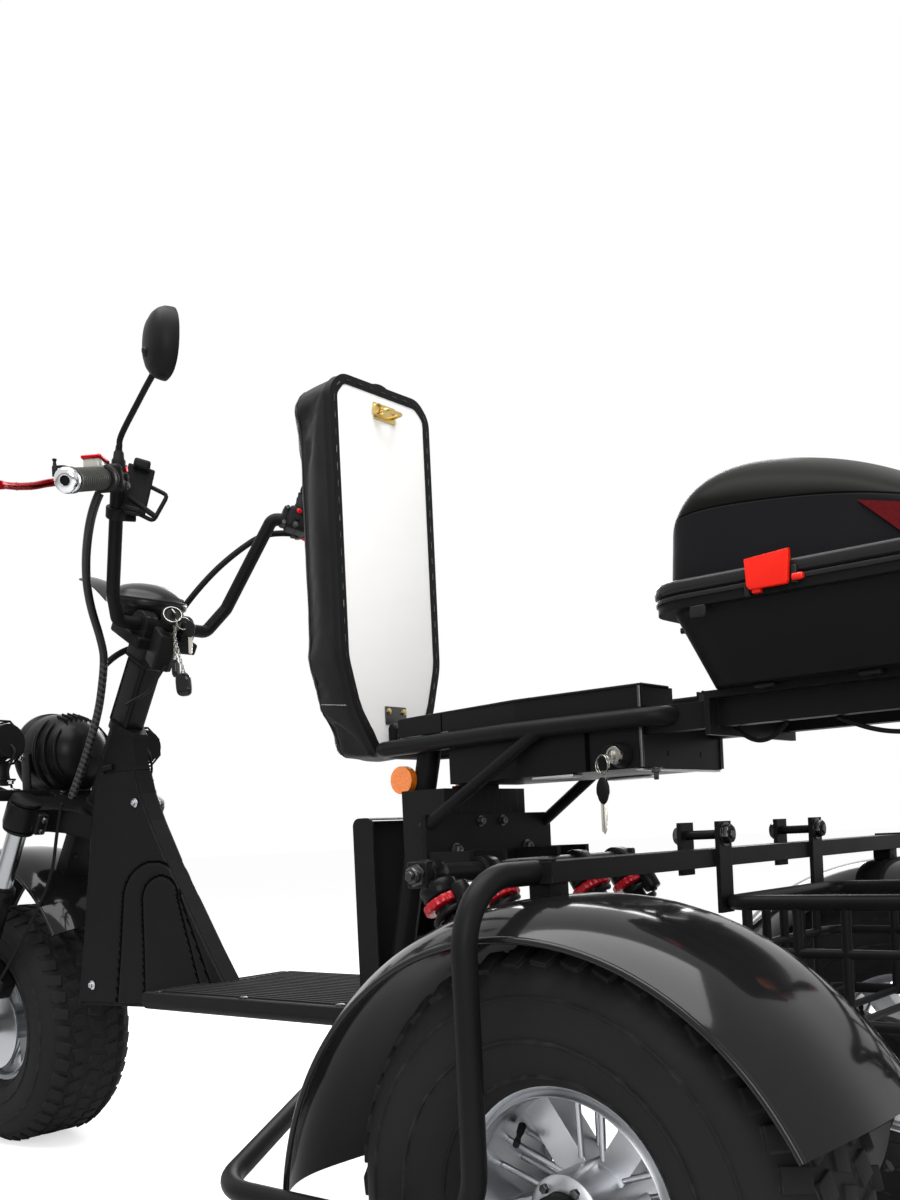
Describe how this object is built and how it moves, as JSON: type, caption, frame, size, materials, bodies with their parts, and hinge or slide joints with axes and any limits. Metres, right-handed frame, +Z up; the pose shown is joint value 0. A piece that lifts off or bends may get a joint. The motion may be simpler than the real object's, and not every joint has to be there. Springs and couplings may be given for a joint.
{
  "type": "electric tricycle",
  "caption": "Electric tricycle with fat tyres, a raked fork, a tipped-up seat, a rear crossbar hoop, a cargo basket and a lidded tail case.",
  "frame": {"origin": "on the ground under the middle of the vehicle's outer box", "axes": "+X forward, +Y to the rider's left, +Z up"},
  "size_m": [2.1638, 1.092, 1.3159],
  "materials": {
    "black_steel": "satin black powder coat",
    "gloss_black": "gloss black",
    "tyre": "matt",
    "alloy": "cast and machined",
    "fork": "polished stanchions, black sliders",
    "dark_plastic": "fine texture",
    "gloss_plastic": "smooth",
    "red": "smooth",
    "red_anodised": "red anodised",
    "lens_orange": "lens",
    "lens_red": "smoked lens",
    "rubber": "ribbed",
    "leather": "fine grain with white stitching",
    "board": "off white board",
    "mirror": "mirror glass in a black shell",
    "battery": "plain case"
  },
  "bodies": {
    "chassis": {"battery_pack": "battery", "battery_tray": "black_steel", "cargo_basket": "black_steel", "case_body": "dark_plastic", "controller_box": "dark_plastic", "cross_plate": "black_steel", "crossbar_hoop": "black_steel", "footboard": "rubber", "front_shield": "black_steel", "main_frame": "black_steel", "pillar_cover": "dark_plastic", "rack_wiring": "rubber", "rear_axle": "black_steel", "rear_lamps": "lens_orange", "rear_mudguards": "gloss_black", "seat_loop": "black_steel", "shock_absorbers": "black_steel", "side_reflectors": "lens_orange", "tail_rack": "black_steel"},
    "steering": {"steering_stem": "gloss_black", "handlebar": "black_steel", "lower_clamp": "black_steel", "fork_legs": "fork", "headlamp": "gloss_plastic", "spot_lamps": "dark_plastic", "front_signals": "dark_plastic", "front_mudguard": "gloss_black", "grips": "rubber", "control_pods": "dark_plastic", "brake_levers": "red_anodised", "mirrors": "mirror", "instrument": "gloss_plastic", "phone_holder": "dark_plastic", "control_cables": "rubber"},
    "front_wheel": {"front_tyre": "tyre", "front_rim": "alloy"},
    "rear_wheel_left": {"rear_tyre_left": "tyre", "rear_rim_left": "alloy"},
    "rear_wheel_right": {"rear_tyre_right": "tyre", "rear_rim_right": "alloy"},
    "seat": {"seat_base": "board", "seat_cushion": "leather"},
    "case_lid": {"case_lid": "dark_plastic", "case_latches": "red", "case_reflectors": "lens_red"}
  },
  "joints": [
    {"name": "steering_turn", "type": "hinge", "parent": "chassis", "child": "steering", "pos_m": [0.58013, 0, 0.62], "axis": [-0.5299, 0, 0.848], "range_deg": [-35, 35]},
    {"name": "front_wheel_spin", "type": "hinge", "parent": "steering", "child": "front_wheel", "pos_m": [0.84613, 0, 0.2285], "axis": [0, 1, 0], "continuous": true},
    {"name": "rear_wheel_left_spin", "type": "hinge", "parent": "chassis", "child": "rear_wheel_left", "pos_m": [-0.74387, 0.405, 0.2285], "axis": [0, 1, 0], "continuous": true},
    {"name": "rear_wheel_right_spin", "type": "hinge", "parent": "chassis", "child": "rear_wheel_right", "pos_m": [-0.74387, -0.405, 0.2285], "axis": [0, 1, 0], "continuous": true},
    {"name": "seat_tip", "type": "hinge", "parent": "chassis", "child": "seat", "pos_m": [-0.16987, 0, 0.705], "axis": [0, 1, 0], "range_deg": [-90, 0]},
    {"name": "case_lid_open", "type": "hinge", "parent": "chassis", "child": "case_lid", "pos_m": [-0.67687, 0, 0.799], "axis": [0, 1, 0], "range_deg": [0, 60]}
  ]
}
